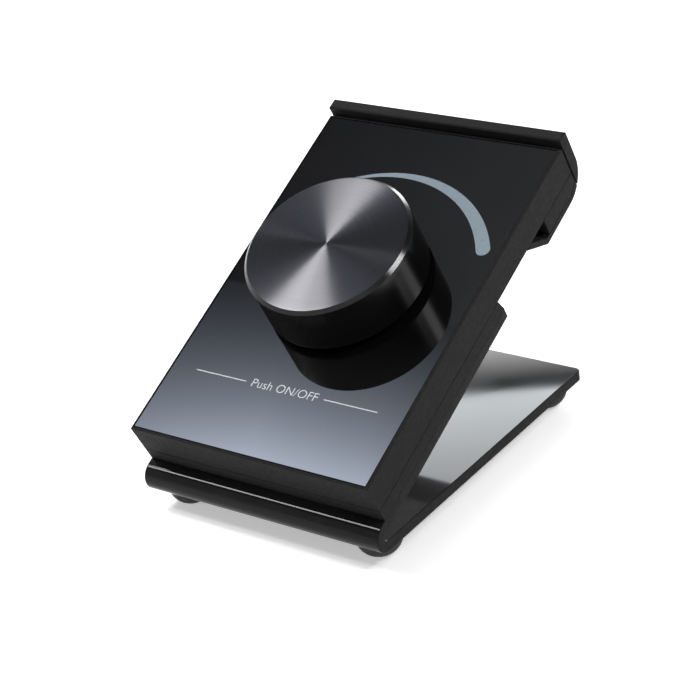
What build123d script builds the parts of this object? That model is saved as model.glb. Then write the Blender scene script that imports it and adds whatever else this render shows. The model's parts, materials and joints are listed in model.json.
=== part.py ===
"""Desktop LED dimmer: a reclined control head on a stand bent from one sheet, worked by one large knob.

Millimetres, +Z up, +X to the right of the person who faces it, front towards -Y.
The origin is under the middle of the object, on the table.
The head is drawn lying flat in its own frame: +Y runs up the face, +Z stands out of the face, and the
glossy front lies at Z = 0. HEAD then leans it back and sets it on the stand.
"""
import os
from math import acos, cos, degrees, radians, sin

from build123d import *

# Head
HEAD_W = 72.0
HEAD_L = 107.5
TILT = 26.0
SHELL_T = 9.2
PAD_T = 3.8
PAD_UNDERCUT = 1.0
WALL = 1.6
FACE_T = 1.0
FACE_BACKING = 1.2
RIM = 0.5
EDGE_CHAMFER = 0.3
SEAM_CHAMFER = 0.2

# Top cap, with the lip that stands out in front of the face
CAP_T = 3.2
CAP_GAP = 0.7
LIP_RISE = 2.4
LIP_CHAMFER = 0.4
CORNER_R = 8.5

# Stand
SHEET_T = 3.0
BEND_R = 1.1
HEAD_LIFT = 1.8
STAND_DEPTH = 97.2
STAND_CORNER_R = 1.5
FOOT_D = 12.0
FOOT_H = 5.2
FOOT_FLAT_D = 4.0
FOOT_STEPS = 3
FOOT_SIDE = 6.8
FOOT_FRONT = 9.6
FOOT_REAR = 8.2

# Knob
KNOB_D = 44.4
KNOB_H = 14.0
KNOB_GAP = 2.1
KNOB_RAISE = 1.15
KNOB_WALL = 2.0
KNOB_TOP = 2.4
KNOB_CHAMFER = 0.9
HUB_D = 10.0
HUB_FLANGE_T = 2.0
PUSH_TRAVEL = 1.5

# Rotary encoder with a push switch
ENCODER_SIDE = 12.0
ENCODER_T = 6.0
ENCODER_PLATE = 0.8
ENCODER_FLOOR = 0.6
BUSH_D = 7.0
BUSH_RISE = 3.2
SHAFT_D = 6.0
SHAFT_FLAT = 1.5
SPLINE_D = 4.0
SPLINE_FLAT = 0.6
ROTOR_D = 10.0
ROTOR_T = 2.2
DOME_BASE_D = 6.2
DOME_TOP_D = 2.8
DOME_SKIN = 0.5
WASHER_D = 11.0
WASHER_T = 0.5
NUT_AF = 10.0
NUT_T = 2.0

# Battery bay
CELL_D = 10.3
CELL_LENGTH = 43.3
CELL_NUB_D = 5.0
CELL_NUB_T = 1.2
COVER_WALL = 1.6
COVER_ROOM = 1.6
COVER_SLOPE = 40.0
CHEEK_SET = 1.1
RIB_NECK = 1.2
RIB_HEAD = 3.0
RIB_NECK_T = 1.2
RIB_HEAD_T = 1.0
CONTACT_T = 0.4
CONTACT_W = 6.0
CONTACT_ROOM = 2.6

# Circuit board
BOARD_T = 1.6
BOARD_L = 32.3
BOARD_MARGIN = 1.4
BOARD_POST_D = 5.0
CHIP_SIDE = 7.0
CHIP_T = 1.0
SHIELD_W = 14.0
SHIELD_L = 12.0
SHIELD_T = 2.0
LEAD_D = 1.2
LEAD_STEP = 1.5

# Screws
STAND_SCREW_D = 3.0
STAND_SCREW_L = 6.0
STAND_SCREW_X = 20.0
STAND_SCREW_Y = 20.0
SHELL_SCREW_D = 2.5
SHELL_SCREW_INSET = 4.8
SHELL_SCREW_BITE = 3.5
CAP_SCREW_L = 9.0
BOARD_SCREW_D = 2.0
BOARD_SCREW_L = 4.6
HEAD_RATIO = 1.9
SOCKET_RATIO = 0.62
BOSS_RATIO = 2.2

# Scale arc on the face, measured about the knob
SCALE_R = 37.2
SCALE_W = 3.8
SCALE_START_ANGLE = 30.0
SCALE_END_ANGLE = 145.0
SCALE_DEPTH = 0.2

# Turns and counts
QUARTER_TURN_ANGLE = 90.0
HEX_SIDES = 6

# Fits
FIT = 0.1
SLIDE_FIT = 0.2
RUN_FIT = 0.06
SCREW_FIT = 0.05
MOVE_GAP = 0.4

# Places that follow from the sizes above
HALF_W = HEAD_W / 2
KNOB_PLACE = HEAD_L / 2 + KNOB_RAISE
BOARD_HIGH = KNOB_PLACE + ENCODER_SIDE / 2 + BOARD_MARGIN
BOARD_LOW = BOARD_HIGH - BOARD_L
PAD_L = BOARD_HIGH + MOVE_GAP + WALL
FRONT_T = FACE_T + FACE_BACKING
HEAD_T = SHELL_T + PAD_T
BEND_OUT = BEND_R + SHEET_T
CELL_R = CELL_D / 2
CELL_PITCH = CELL_D + SLIDE_FIT
CELL_Z = -(FRONT_T + SLIDE_FIT + CELL_R)
UPPER_CELL = HEAD_L - WALL - SLIDE_FIT - CELL_R
LOWER_CELL = UPPER_CELL - CELL_PITCH
CELL_PLACES = (UPPER_CELL, LOWER_CELL)
RIB_PLACE = (UPPER_CELL + LOWER_CELL) / 2
COVER_DEPTH = FRONT_T + SLIDE_FIT + CELL_D + COVER_ROOM + COVER_WALL
SLOPE_SIN = sin(radians(COVER_SLOPE))
SLOPE_COS = cos(radians(COVER_SLOPE))
SLOPE_REACH = CELL_R + SLIDE_FIT + COVER_WALL - (SHELL_T + CELL_Z) * SLOPE_COS
COVER_TOE = LOWER_CELL - SLOPE_REACH / SLOPE_SIN
COVER_END = HEAD_L + CAP_GAP / 2
CHEEK_LOW = LOWER_CELL + CHEEK_SET
BAY_LOW = LOWER_CELL - CELL_R - SLIDE_FIT
BAY_HALF = CELL_LENGTH / 2 + CELL_NUB_T / 2 + CONTACT_ROOM
PANEL_HALF = HALF_W - WALL - FIT
PANEL_Z = -SHELL_T + WALL
CAP_LOW = HEAD_L + CAP_GAP
CAP_HIGH = CAP_LOW + CAP_T
CORNER_Y = CAP_HIGH - CORNER_R
CORNER_Z = CORNER_R - COVER_DEPTH
BOARD_FRONT = -(FRONT_T + ENCODER_T)
BOARD_BACK = BOARD_FRONT - BOARD_T
BOARD_HALF = PANEL_HALF - WALL
PAD_FLOOR = -(HEAD_T - WALL)
KNOB_R = KNOB_D / 2
KNOB_HOLLOW_R = KNOB_R - KNOB_WALL
KNOB_HIGH = KNOB_GAP + KNOB_H
KNOB_CEILING = KNOB_HIGH - KNOB_TOP
HUB_LOW = BUSH_RISE + PUSH_TRAVEL + MOVE_GAP
ROTOR_HIGH = -(FRONT_T + ENCODER_PLATE + RUN_FIT)
ROTOR_LOW = ROTOR_HIGH - ROTOR_T
CHAMBER_FLOOR = BOARD_FRONT + ENCODER_FLOOR
SHAFT_SHOULDER = ROTOR_HIGH + PUSH_TRAVEL + RUN_FIT
SHAFT_TIP = ROTOR_LOW - MOVE_GAP
SHELL_SCREW_X = HALF_W - SHELL_SCREW_INSET
SHELL_POST_D = SHELL_SCREW_D * BOSS_RATIO
PANEL_SCREW_X = BAY_HALF - SHELL_POST_D / 2
PANEL_SCREW_Y = (PAD_L + COVER_TOE) / 2
CAP_SCREW_X = (BAY_HALF + WALL + PANEL_HALF) / 2
CAP_SCREW_Z = -(FRONT_T + SHELL_T) / 2
BOARD_POST_X = BOARD_HALF - BOARD_POST_D
BOARD_POST_Y = BOARD_LOW + BOARD_POST_D
LEAD_X = BAY_HALF + WALL + LEAD_D
LEAD_FRONT = -(FRONT_T + LEAD_D)
LEAD_BACK = LEAD_FRONT - LEAD_STEP * LEAD_D
LEAD_ENDS = (BOARD_HIGH - (1 + 2 * LEAD_STEP) * LEAD_D, BOARD_HIGH - LEAD_STEP * LEAD_D)
LEADS = tuple(zip(CELL_PLACES, (LEAD_FRONT, LEAD_BACK), LEAD_ENDS))

# Where the head stands on its stand
SIN = sin(radians(TILT))
COS = cos(radians(TILT))
BEND_Z = FOOT_H + BEND_OUT
HEAD_FROM_BEND = HEAD_LIFT * COS - (BEND_OUT + HEAD_T) * SIN
HEAD_Z = BEND_Z + (BEND_OUT + HEAD_T) * COS + HEAD_LIFT * SIN
REAR_FROM_BEND = HEAD_FROM_BEND + CORNER_Y * COS - CORNER_Z * SIN + CORNER_R
FRONT_FROM_BEND = HEAD_FROM_BEND + EDGE_CHAMFER * SIN
BEND_Y = -(FRONT_FROM_BEND + REAR_FROM_BEND) / 2
FRONT_Y = BEND_Y - BEND_OUT
STAND_REAR = FRONT_Y + STAND_DEPTH
HEAD = Pos(0, BEND_Y + HEAD_FROM_BEND, HEAD_Z) * Rot(TILT, 0, 0)
KNOB_AXIS = Pos(0, KNOB_PLACE, 0)


# Shapes that come up again and again
def block(x0, x1, y0, y1, z0, z1):
    """A box between two corners."""
    return Pos((x0 + x1) / 2, (y0 + y1) / 2, (z0 + z1) / 2) * Box(x1 - x0, y1 - y0, z1 - z0)


def rod(x, y, z0, z1, diameter):
    """A round bar standing on the face, from z0 to z1."""
    return Pos(x, y, (z0 + z1) / 2) * Cylinder(diameter / 2, z1 - z0)


def prism(outline, x0, x1):
    """A side outline, drawn as Y and Z, drawn out across the width from x0 to x1."""
    return Pos(x0, 0, 0) * extrude(Plane.YZ * make_face(outline), amount=x1 - x0)


def both_sides(shape):
    """The shape and its mirror image on the other side."""
    return [shape, mirror(shape, about=Plane.YZ)]


def on_circle(y, z, radius, angle):
    """The point of a circle at an angle in degrees."""
    return y + radius * cos(radians(angle)), z + radius * sin(radians(angle))


def countersunk(diameter, length):
    """A countersunk screw, its head flush with Z = 0 and its tip at -length."""
    head = diameter * HEAD_RATIO / 2
    sink = head - diameter / 2
    return rod(0, 0, -length, 0, diameter) + Pos(0, 0, -sink / 2) * Cone(diameter / 2, head, sink)


def screw(diameter, length):
    """A countersunk screw with a hexagon socket."""
    socket = extrude(RegularPolygon(diameter * SOCKET_RATIO / 2, HEX_SIDES), amount=-diameter / 2)
    return countersunk(diameter, length) - socket


def screws(places, diameter, length):
    """The same screw at every place."""
    return Compound([place * screw(diameter, length) for place in places])


def screw_rooms(places, diameter, length):
    """The holes for the same screws."""
    return [place * countersunk(diameter + 2 * SCREW_FIT, length + SCREW_FIT) for place in places]


# Where the screws go: a place for each, with the screw's own +Z pointing out of its head
BACKWARDS = Rot(2 * QUARTER_TURN_ANGLE, 0, 0)
UPWARDS = Rot(-QUARTER_TURN_ANGLE, 0, 0)
STAND_SCREW_Z = -(HEAD_T + SHEET_T)
STAND_SCREWS = [Pos(x, STAND_SCREW_Y, STAND_SCREW_Z) * BACKWARDS for x in (-STAND_SCREW_X, STAND_SCREW_X)]
LONG_SCREWS = [Pos(x, SHELL_SCREW_INSET, -HEAD_T) * BACKWARDS for x in (-SHELL_SCREW_X, SHELL_SCREW_X)]
SHORT_SCREWS = [Pos(x, PANEL_SCREW_Y, -SHELL_T) * BACKWARDS for x in (-PANEL_SCREW_X, PANEL_SCREW_X)]
CAP_SCREWS = [Pos(x, CAP_HIGH, CAP_SCREW_Z) * UPWARDS for x in (-CAP_SCREW_X, CAP_SCREW_X)]
BOARD_SCREWS = [Pos(x, BOARD_POST_Y, BOARD_BACK) * BACKWARDS for x in (-BOARD_POST_X, BOARD_POST_X)]
LONG_SCREW_L = PAD_T + SHELL_SCREW_BITE
SHORT_SCREW_L = WALL + SHELL_SCREW_BITE


# Head
def scale_outline():
    """The tapered arc about the knob: round at its wide end, a point at the other."""
    middle = (SCALE_START_ANGLE + SCALE_END_ANGLE) / 2
    wide_out = on_circle(0, KNOB_PLACE, SCALE_R, SCALE_START_ANGLE)
    wide_in = on_circle(0, KNOB_PLACE, SCALE_R - SCALE_W, SCALE_START_ANGLE)
    turn = degrees(SCALE_W / 2 / SCALE_R)
    wide_tip = on_circle(0, KNOB_PLACE, SCALE_R - SCALE_W / 2, SCALE_START_ANGLE - turn)
    point = on_circle(0, KNOB_PLACE, SCALE_R, SCALE_END_ANGLE)
    outside = ThreePointArc(wide_out, on_circle(0, KNOB_PLACE, SCALE_R, middle), point)
    inside = ThreePointArc(point, on_circle(0, KNOB_PLACE, SCALE_R - SCALE_W / 2, middle), wide_in)
    return Curve() + [outside, inside, ThreePointArc(wide_in, wide_tip, wide_out)]


def brightness_scale():
    """The pale inlay that fills the arc."""
    return Pos(0, 0, -SCALE_DEPTH) * extrude(make_face(scale_outline()), amount=SCALE_DEPTH)


def face_plate():
    """The glossy front plate, sunk into the housing."""
    inset = RIM + FIT
    plate = block(inset - HALF_W, HALF_W - inset, inset, HEAD_L - inset, -FACE_T, 0)
    plate = chamfer(plate.faces().sort_by(Axis.Z)[-1].edges(), EDGE_CHAMFER)
    plate -= rod(0, KNOB_PLACE, -FACE_T, 0, BUSH_D + 2 * FIT)
    return plate - brightness_scale()


def shell_posts():
    """The screw posts inside the front housing."""
    low = rod(SHELL_SCREW_X, SHELL_SCREW_INSET, -SHELL_T, -FACE_T, SHELL_POST_D)
    panel = rod(PANEL_SCREW_X, PANEL_SCREW_Y, PANEL_Z, -FACE_T, SHELL_POST_D)
    board = rod(BOARD_POST_X, BOARD_POST_Y, BOARD_FRONT, -FACE_T, BOARD_POST_D)
    cap = block(BAY_HALF + WALL + FIT, HALF_W - WALL, CAP_HIGH - CAP_SCREW_L - WALL, HEAD_L - WALL,
                CAP_SCREW_Z - SHELL_POST_D / 2, -FACE_T)
    return [half for post in (low, panel, board, cap) for half in both_sides(post)]


def front_housing():
    """The moulded tray that carries the face plate in front and everything else inside."""
    shell = block(-HALF_W, HALF_W, 0, HEAD_L, -SHELL_T, 0)
    shell = chamfer(shell.faces().sort_by(Axis.Z)[-1].edges(), EDGE_CHAMFER)
    shell = chamfer(shell.faces().sort_by(Axis.Z)[0].edges(), SEAM_CHAMFER)
    shell -= block(WALL - HALF_W, HALF_W - WALL, WALL, HEAD_L - WALL, -SHELL_T, -FRONT_T)
    shell += shell_posts()
    shell -= block(RIM - HALF_W, HALF_W - RIM, RIM, HEAD_L - RIM, -FACE_T, 0)
    shell -= rod(0, KNOB_PLACE, -FRONT_T, -FACE_T, BUSH_D + 2 * FIT)
    shell -= screw_rooms(LONG_SCREWS, SHELL_SCREW_D, LONG_SCREW_L)
    shell -= screw_rooms(SHORT_SCREWS, SHELL_SCREW_D, SHORT_SCREW_L)
    shell -= screw_rooms(CAP_SCREWS, SHELL_SCREW_D, CAP_SCREW_L)
    return shell - screw_rooms(BOARD_SCREWS, BOARD_SCREW_D, BOARD_SCREW_L)


def cover_outline(inset, end, seam):
    """The outside of the battery cover seen from the side, brought in by inset, from seam up to end."""
    radius = CORNER_R - inset
    depth = COVER_DEPTH - inset
    toe = COVER_TOE + inset / SLOPE_SIN
    knee = toe + (depth + seam) * SLOPE_COS / SLOPE_SIN
    last = -degrees(acos((end - CORNER_Y) / radius))
    finish = on_circle(CORNER_Y, CORNER_Z, radius, last)
    halfway = on_circle(CORNER_Y, CORNER_Z, radius, (last - QUARTER_TURN_ANGLE) / 2)
    corner = ThreePointArc((CORNER_Y, -depth), halfway, finish)
    return Curve() + [Polyline((toe, seam), (knee, -depth), (CORNER_Y, -depth)), corner,
                      Polyline(finish, (end, seam), (toe, seam))]


def rib(grow, x0, x1):
    """The T-shaped rib inside the battery cover, or with grow the slot it slides in."""
    roof = COVER_WALL - COVER_DEPTH
    step = roof + RIB_NECK_T - grow
    neck = block(x0, x1, RIB_PLACE - RIB_NECK / 2 - grow, RIB_PLACE + RIB_NECK / 2 + grow, roof, step)
    head = block(x0, x1, RIB_PLACE - RIB_HEAD / 2 - grow, RIB_PLACE + RIB_HEAD / 2 + grow,
                 step, step + RIB_HEAD_T + 2 * grow)
    return neck + head


def battery_cover():
    """The channel over the cells, open at both ends, that slides off sideways."""
    seam = -SHELL_T - RUN_FIT
    skin = prism(cover_outline(0, COVER_END, seam), -HALF_W, HALF_W)
    skin -= prism(cover_outline(COVER_WALL, COVER_END, seam), -HALF_W, HALF_W)
    return skin + rib(0, -HALF_W, PANEL_HALF - SLIDE_FIT)


def rear_pad():
    """The lower half of the rear cover, hollow, with a post for each screw."""
    top = PAD_L + PAD_UNDERCUT
    pad = prism(Polyline((0, -SHELL_T), (0, -HEAD_T), (top, -HEAD_T), (PAD_L, -SHELL_T), close=True),
                -HALF_W, HALF_W)
    pad -= block(WALL - HALF_W, HALF_W - WALL, WALL, PAD_L - WALL, PAD_FLOOR, -SHELL_T)
    for place_x, place_y, size in ((STAND_SCREW_X, STAND_SCREW_Y, STAND_SCREW_D),
                                   (SHELL_SCREW_X, SHELL_SCREW_INSET, SHELL_SCREW_D)):
        pad += both_sides(rod(place_x, place_y, PAD_FLOOR, -SHELL_T, size * BOSS_RATIO))
    return pad


def battery_bay():
    """The walls that hold the cells, and the cheeks that carry the battery cover."""
    inside = cover_outline(COVER_WALL + SLIDE_FIT, HEAD_L, -SHELL_T)
    wall_x = BAY_HALF + WALL
    cheek = prism(inside, BAY_HALF, HALF_W)
    cheek &= block(BAY_HALF, HALF_W, CHEEK_LOW, HEAD_L, -COVER_DEPTH, -SHELL_T)
    cheek -= block(wall_x, HALF_W - WALL, CHEEK_LOW + WALL, HEAD_L - WALL, -SHELL_T - WALL, -SHELL_T)
    end_wall = prism(inside, BAY_HALF, wall_x)
    end_wall += block(BAY_HALF, wall_x, BAY_LOW - WALL, HEAD_L - WALL - FIT, -SHELL_T, -FRONT_T - FIT)
    low_wall = block(-wall_x, wall_x, BAY_LOW - WALL, BAY_LOW, PANEL_Z, -FRONT_T - FIT)
    top_wall = prism(inside, -wall_x, wall_x)
    top_wall &= block(-wall_x, wall_x, HEAD_L - WALL, HEAD_L, -COVER_DEPTH, -SHELL_T)
    return [*both_sides(cheek), *both_sides(end_wall), low_wall, top_wall]


def rear_cover():
    """The rear moulding: pad, recessed panel and battery bay in one."""
    cover = rear_pad()
    cover += block(-PANEL_HALF, PANEL_HALF, PAD_L - WALL, BAY_LOW, -SHELL_T, PANEL_Z)
    cover += battery_bay()
    cover -= rib(SLIDE_FIT, -HALF_W, PANEL_HALF)
    cover -= [contact_tab(place, depth, FIT) for place, depth, end in LEADS]
    cover -= screw_rooms(STAND_SCREWS, STAND_SCREW_D, STAND_SCREW_L)
    cover -= screw_rooms(LONG_SCREWS, SHELL_SCREW_D, LONG_SCREW_L)
    return cover - screw_rooms(SHORT_SCREWS, SHELL_SCREW_D, SHORT_SCREW_L)


def top_cap():
    """The end plate of the head; its front edge stands proud of the face as a lip."""
    start = -degrees(acos((CAP_LOW - CORNER_Y) / CORNER_R))
    low = on_circle(CORNER_Y, CORNER_Z, CORNER_R, start)
    halfway = on_circle(CORNER_Y, CORNER_Z, CORNER_R, start / 2)
    edge = Polyline((CAP_HIGH, CORNER_Z), (CAP_HIGH, LIP_RISE), (CAP_LOW, LIP_RISE), low)
    cap = prism(Curve() + [edge, ThreePointArc(low, halfway, (CAP_HIGH, CORNER_Z))], -HALF_W, HALF_W)
    cap = chamfer(cap.faces().sort_by(Axis.Z)[-1].edges(), LIP_CHAMFER)
    cap += block(CAP_GAP - HALF_W, HALF_W - CAP_GAP, HEAD_L, CAP_LOW, -SHELL_T, -FACE_T)
    return cap - screw_rooms(CAP_SCREWS, SHELL_SCREW_D, CAP_SCREW_L)


# Stand
def stand():
    """One sheet bent back on itself: a base on the table and an upright behind the head."""
    lean = QUARTER_TURN_ANGLE + TILT
    middle = (lean + 3 * QUARTER_TURN_ANGLE) / 2
    climb = HEAD_LIFT + PAD_L + PAD_UNDERCUT
    outer = on_circle(BEND_Y, BEND_Z, BEND_OUT, lean)
    inner = on_circle(BEND_Y, BEND_Z, BEND_R, lean)
    outer_top = (outer[0] + climb * COS, outer[1] + climb * SIN)
    inner_top = (inner[0] + climb * COS, inner[1] + climb * SIN)
    outer_arc = ThreePointArc((BEND_Y, FOOT_H), on_circle(BEND_Y, BEND_Z, BEND_OUT, middle), outer)
    inner_arc = ThreePointArc(inner, on_circle(BEND_Y, BEND_Z, BEND_R, middle), (BEND_Y, FOOT_H + SHEET_T))
    outline = Curve() + [outer_arc, Polyline(outer, outer_top, inner_top, inner), inner_arc,
                         Polyline((BEND_Y, FOOT_H + SHEET_T), (STAND_REAR, FOOT_H + SHEET_T),
                                  (STAND_REAR, FOOT_H), (BEND_Y, FOOT_H))]
    sheet = prism(outline, -HALF_W, HALF_W)
    rear_corners = sheet.edges().filter_by(Axis.Z)
    top_corners = sheet.edges().filter_by(Axis((0, 0, 0), (0, -SIN, COS)))
    sheet = fillet(rear_corners + top_corners, STAND_CORNER_R)
    return sheet - [HEAD * room for room in screw_rooms(STAND_SCREWS, STAND_SCREW_D, STAND_SCREW_L)]


def foot(x, y):
    """A rubber bumper under the base, domed in a few steps down to a small flat."""
    draw_in = (FOOT_D - FOOT_FLAT_D) / 2
    radius = (draw_in + FOOT_H ** 2 / draw_in) / 2
    sweep_angle = degrees(acos(1 - draw_in / radius))
    turns = [-sweep_angle * step / FOOT_STEPS for step in range(FOOT_STEPS + 1)]
    dome = [on_circle(FOOT_D / 2 - radius, FOOT_H, radius, turn) for turn in turns]
    side = make_face(Polyline((0, FOOT_H), *dome, (0, 0), close=True))
    return Pos(x, y, 0) * revolve(Plane.XZ * side, Axis.Z)


# Knob and encoder, drawn about the knob's own axis
def double_flat(diameter, flat, z0, z1):
    """A round bar with a flat on each side."""
    across = diameter / 2 - flat / 2
    return rod(0, 0, z0, z1, diameter) & block(-across, across, -diameter, diameter, z0, z1)


def single_flat(diameter, flat, z0, z1):
    """A round bar with one flat."""
    return rod(0, 0, z0, z1, diameter) & block(-diameter, diameter, -diameter, diameter / 2 - flat, z0, z1)


def knob_shell():
    """The turned cup that the hand takes hold of."""
    cup = rod(0, 0, KNOB_GAP, KNOB_HIGH, KNOB_D)
    cup = chamfer(cup.edges().filter_by(GeomType.CIRCLE).sort_by(Axis.Z)[-1], KNOB_CHAMFER)
    cup = chamfer(cup.edges().filter_by(GeomType.CIRCLE).sort_by(Axis.Z)[0], EDGE_CHAMFER)
    return cup - rod(0, 0, KNOB_GAP, KNOB_CEILING, 2 * KNOB_HOLLOW_R)


def knob_hub():
    """The moulded insert glued into the cup, with the bore for the shaft."""
    hub = rod(0, 0, HUB_LOW, KNOB_CEILING, HUB_D)
    hub += rod(0, 0, KNOB_CEILING - HUB_FLANGE_T, KNOB_CEILING, 2 * (KNOB_HOLLOW_R - FIT))
    return hub - single_flat(SHAFT_D + 2 * SCREW_FIT, SHAFT_FLAT, HUB_LOW, KNOB_CEILING - HUB_FLANGE_T / 2)


def encoder_shaft():
    """The shaft: round in the bush, flat in the hub, and two flats where it drives the rotor."""
    shaft = rod(0, 0, SHAFT_SHOULDER, HUB_LOW, SHAFT_D)
    shaft += single_flat(SHAFT_D, SHAFT_FLAT + SCREW_FIT, HUB_LOW, KNOB_CEILING - HUB_FLANGE_T)
    return shaft + double_flat(SPLINE_D, SPLINE_FLAT, SHAFT_TIP, SHAFT_SHOULDER)


def encoder_rotor():
    """The contact disc that turns with the shaft while the shaft slides through it."""
    slot = double_flat(SPLINE_D + 2 * RUN_FIT, SPLINE_FLAT, ROTOR_LOW, ROTOR_HIGH)
    return rod(0, 0, ROTOR_LOW, ROTOR_HIGH, ROTOR_D) - slot


def encoder_bush():
    """The bush that the shaft runs in, and that the nut clamps by."""
    bush = rod(0, 0, -FRONT_T - ENCODER_PLATE, BUSH_RISE, BUSH_D)
    return bush - rod(0, 0, -FRONT_T - ENCODER_PLATE, BUSH_RISE, SHAFT_D + 2 * RUN_FIT)


def encoder_body():
    """The encoder's case, with a round room for the rotor and one below it for the switch."""
    half = ENCODER_SIDE / 2
    case = block(-half, half, -half, half, BOARD_FRONT, -FRONT_T)
    case -= rod(0, 0, -FRONT_T - ENCODER_PLATE, -FRONT_T, BUSH_D + 2 * SCREW_FIT)
    case -= rod(0, 0, ROTOR_LOW - RUN_FIT, ROTOR_HIGH + RUN_FIT, ROTOR_D + 2 * RUN_FIT)
    return case - rod(0, 0, CHAMBER_FLOOR, ROTOR_LOW, DOME_BASE_D + 2 * SLIDE_FIT)


def switch_dome():
    """The silicone dome under the shaft, which gives way at a push and lifts the knob again."""
    height = SHAFT_TIP - SCREW_FIT - CHAMBER_FLOOR
    inside = height - DOME_SKIN
    skin = Pos(0, 0, height / 2) * Cone(DOME_BASE_D / 2, DOME_TOP_D / 2, height)
    hollow = Pos(0, 0, inside / 2) * Cone(DOME_BASE_D / 2 - DOME_SKIN, DOME_TOP_D / 2 - DOME_SKIN, inside)
    return Pos(0, 0, CHAMBER_FLOOR) * (skin - hollow)


def encoder_washer():
    """The washer between nut and face."""
    return rod(0, 0, 0, WASHER_T, WASHER_D) - rod(0, 0, 0, WASHER_T, BUSH_D + 2 * FIT)


def encoder_nut():
    """The nut that holds the encoder to the face."""
    hexagon = RegularPolygon(NUT_AF / 2, HEX_SIDES, major_radius=False)
    nut = Pos(0, 0, WASHER_T) * extrude(hexagon, amount=NUT_T)
    return nut - rod(0, 0, WASHER_T, WASHER_T + NUT_T, BUSH_D + 2 * SCREW_FIT)


# Circuit board
def circuit_board():
    """The board behind the encoder."""
    board = block(-BOARD_HALF, BOARD_HALF, BOARD_LOW, BOARD_HIGH, BOARD_BACK, BOARD_FRONT)
    return board - screw_rooms(BOARD_SCREWS, BOARD_SCREW_D, BOARD_SCREW_L)


def control_chip():
    """The controller, on the left of the encoder."""
    x = -(ENCODER_SIDE / 2 + BOARD_HALF) / 2
    return block(x - CHIP_SIDE / 2, x + CHIP_SIDE / 2, KNOB_PLACE - CHIP_SIDE, KNOB_PLACE,
                 BOARD_FRONT, BOARD_FRONT + CHIP_T)


def radio_shield():
    """The can over the radio, below the encoder."""
    y = BOARD_LOW + MOVE_GAP
    return block(-SHIELD_W / 2, SHIELD_W / 2, y, y + SHIELD_L, BOARD_FRONT, BOARD_FRONT + SHIELD_T)


# Battery
def battery_cell(place, end):
    """A cell lying across the head, its nub towards end, which is -1 or 1."""
    middle = -end * CELL_NUB_T / 2
    lie = Pos(0, place, CELL_Z) * Rot(0, QUARTER_TURN_ANGLE, 0)
    can = lie * rod(0, 0, middle - CELL_LENGTH / 2, middle + CELL_LENGTH / 2, CELL_D)
    tip = middle + end * CELL_LENGTH / 2
    nub = lie * rod(0, 0, min(tip, tip + end * CELL_NUB_T), max(tip, tip + end * CELL_NUB_T), CELL_NUB_D)
    return can + nub


def contact_leaf(place):
    """A plate on the right-hand end wall with a folded leaf that presses on the end of a cell."""
    half = CONTACT_W / 2
    back = BAY_HALF - CONTACT_T
    tip = BAY_HALF - CONTACT_ROOM + SCREW_FIT
    plate = block(back, BAY_HALF, place - half, place + half, CELL_Z - half, LEAD_FRONT + LEAD_D / 2)
    fold = make_face(Polyline((back, CELL_Z - half), (tip, CELL_Z), (back, CELL_Z + half),
                              (back, CELL_Z + half - CONTACT_T), (tip + CONTACT_T, CELL_Z),
                              (back, CELL_Z - half + CONTACT_T), close=True))
    return plate + Pos(0, place + half, 0) * extrude(Plane.XZ * fold, amount=CONTACT_W)


def contact_tab(place, depth, grow):
    """The tab that a lead is soldered to, or with grow the slot for it in the end wall."""
    half = CONTACT_T / 2 + grow
    return block(BAY_HALF - CONTACT_T, LEAD_X - LEAD_D / 2, place - CONTACT_W / 2 - grow, place + grow,
                 depth - half, depth + half)


def end_contact(place, depth):
    """A contact at the right-hand end of one cell."""
    return contact_leaf(place) + contact_tab(place, depth, 0)


def contact_bridge():
    """The strip at the left-hand end that joins the two cells."""
    half = CONTACT_W / 2
    strip = block(-BAY_HALF, CONTACT_T - BAY_HALF, LOWER_CELL, UPPER_CELL, CELL_Z - half, CELL_Z + half)
    return strip + [mirror(contact_leaf(place), about=Plane.YZ) for place in CELL_PLACES]


def battery_lead(place, depth, end):
    """A wire from a contact's tab down to the board."""
    start = (LEAD_X, place - CONTACT_W / 4, depth)
    path = Polyline(start, (LEAD_X, end, depth), (LEAD_X, end, BOARD_FRONT))
    section = Plane(origin=start, z_dir=(0, -1, 0)) * Circle(LEAD_D / 2)
    return sweep(section, path=path, transition=Transition.RIGHT)


# Every piece under its own name
def head_nodes():
    """The pieces drawn in the head's frame."""
    return {
        "face_plate": face_plate(),
        "brightness_scale": brightness_scale(),
        "front_housing": front_housing(),
        "rear_cover": rear_cover(),
        "battery_cover": battery_cover(),
        "top_cap": top_cap(),
        "circuit_board": circuit_board(),
        "control_chip": control_chip(),
        "radio_shield": radio_shield(),
        "battery_cell_upper": battery_cell(UPPER_CELL, 1),
        "battery_cell_lower": battery_cell(LOWER_CELL, -1),
        "contact_positive": end_contact(*LEADS[0][:2]),
        "contact_negative": end_contact(*LEADS[1][:2]),
        "contact_bridge": contact_bridge(),
        "battery_leads": Compound([battery_lead(*lead) for lead in LEADS]),
        "cap_screws": screws(CAP_SCREWS, SHELL_SCREW_D, CAP_SCREW_L),
        "housing_screws_long": screws(LONG_SCREWS, SHELL_SCREW_D, LONG_SCREW_L),
        "housing_screws_short": screws(SHORT_SCREWS, SHELL_SCREW_D, SHORT_SCREW_L),
        "board_screws": screws(BOARD_SCREWS, BOARD_SCREW_D, BOARD_SCREW_L),
        "stand_screws": screws(STAND_SCREWS, STAND_SCREW_D, STAND_SCREW_L),
    }


def knob_nodes():
    """The pieces drawn about the knob's axis."""
    return {
        "knob_shell": knob_shell(),
        "knob_hub": knob_hub(),
        "encoder_shaft": encoder_shaft(),
        "encoder_rotor": encoder_rotor(),
        "encoder_bush": encoder_bush(),
        "encoder_body": encoder_body(),
        "switch_dome": switch_dome(),
        "encoder_washer": encoder_washer(),
        "encoder_nut": encoder_nut(),
    }


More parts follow.
